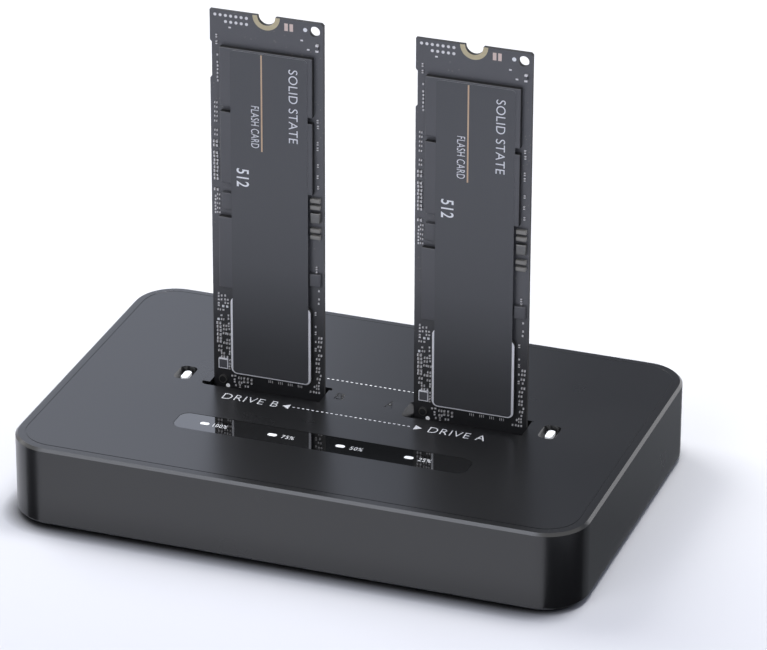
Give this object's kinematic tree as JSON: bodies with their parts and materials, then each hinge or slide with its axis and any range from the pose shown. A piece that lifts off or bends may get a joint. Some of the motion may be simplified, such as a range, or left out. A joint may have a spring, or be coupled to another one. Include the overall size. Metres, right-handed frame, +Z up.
{
  "type": "drive duplicator",
  "caption": "Flat black two-bay duplicator dock for bare M.2 drive cards, with both cards standing in their slots and a glossy progress strip in front.",
  "frame": {"origin": "under the middle of the housing, at the level its feet stand on", "axes": "+X along the housing's long side, to the right seen from the progress strip; +Y towards the rear ports; +Z up, along the standing drive cards"},
  "size_m": [0.1106, 0.0728, 0.091],
  "materials": {
    "cover_plastic": "satin black moulded plastic",
    "base_plastic": "fine-textured black moulded plastic",
    "foot_rubber": "matt black rubber",
    "screw_steel": "black-plated steel",
    "dock_board": "green solder mask",
    "socket_plastic": "black heat-resistant plastic",
    "gold_plating": "thin gold plating",
    "strip_lens": "high-gloss black lens",
    "light_pipe": "milky white light guide",
    "led_body": "white LED package",
    "port_steel": "nickel-plated steel",
    "control_plastic": "satin black plastic",
    "chip_resin": "dark moulding resin",
    "coil_metal": "pressed dark grey iron powder",
    "capacitor_can": "bright aluminium can",
    "capacitor_ceramic": "sintered ceramic with tinned ends",
    "card_board": "black solder mask",
    "controller_shield": "satin nickel lid",
    "card_label": "dark grey printed film",
    "print_ink": "white pad-printed ink"
  },
  "bodies": {
    "dock": {"base_plate": "base_plastic", "board_screws": "screw_steel", "bridge_chips": "chip_resin", "bulk_capacitors": "capacitor_can", "card_socket_a": "socket_plastic", "card_socket_b": "socket_plastic", "chip_capacitors": "capacitor_ceramic", "clone_chip": "chip_resin", "clone_switch_body": "socket_plastic", "crystals": "port_steel", "dc_jack": "socket_plastic", "dc_jack_pin": "port_steel", "flash_chip": "chip_resin", "light_shield": "socket_plastic", "main_board": "dock_board", "power_coils": "coil_metal", "power_switch_case": "port_steel", "progress_leds": "led_body", "progress_lens": "strip_lens", "progress_light_pipes": "light_pipe", "regulator_chip": "chip_resin", "rubber_feet": "foot_rubber", "socket_contacts_a": "gold_plating", "socket_contacts_b": "gold_plating", "status_leds": "led_body", "status_light_a": "light_pipe", "status_light_b": "light_pipe", "top_cover": "cover_plastic", "usb_c_shell": "port_steel", "usb_c_tongue": "socket_plastic"},
    "drive_a": {"drive_a_board": "card_board", "drive_a_mount_ring": "gold_plating", "drive_a_fingers": "gold_plating", "drive_a_memory": "chip_resin", "drive_a_buffer": "chip_resin", "drive_a_controller": "controller_shield", "drive_a_label": "card_label", "drive_a_capacitors": "capacitor_ceramic", "drive_a_inductor": "coil_metal", "drive_a_small_chips": "chip_resin"},
    "drive_b": {"drive_b_board": "card_board", "drive_b_mount_ring": "gold_plating", "drive_b_fingers": "gold_plating", "drive_b_memory": "chip_resin", "drive_b_buffer": "chip_resin", "drive_b_controller": "controller_shield", "drive_b_label": "card_label", "drive_b_capacitors": "capacitor_ceramic", "drive_b_inductor": "coil_metal", "drive_b_small_chips": "chip_resin"},
    "clone_button": {"clone_button_cap": "control_plastic", "clone_switch_plunger": "socket_plastic"},
    "power_switch": {"power_switch_slider": "control_plastic"}
  },
  "joints": [
    {"name": "drive_a_lift", "type": "slide", "parent": "dock", "child": "drive_a", "axis": [0, 0, 1], "range_m": [0, 0.03]},
    {"name": "drive_b_lift", "type": "slide", "parent": "dock", "child": "drive_b", "axis": [0, 0, 1], "range_m": [0, 0.03]},
    {"name": "clone_press", "type": "slide", "parent": "dock", "child": "clone_button", "axis": [0, -1, 0], "range_m": [0, 0.0005], "stiffness_N_per_m": 600},
    {"name": "power_slide", "type": "slide", "parent": "dock", "child": "power_switch", "axis": [1, 0, 0], "range_m": [0, 0.0025]}
  ]
}
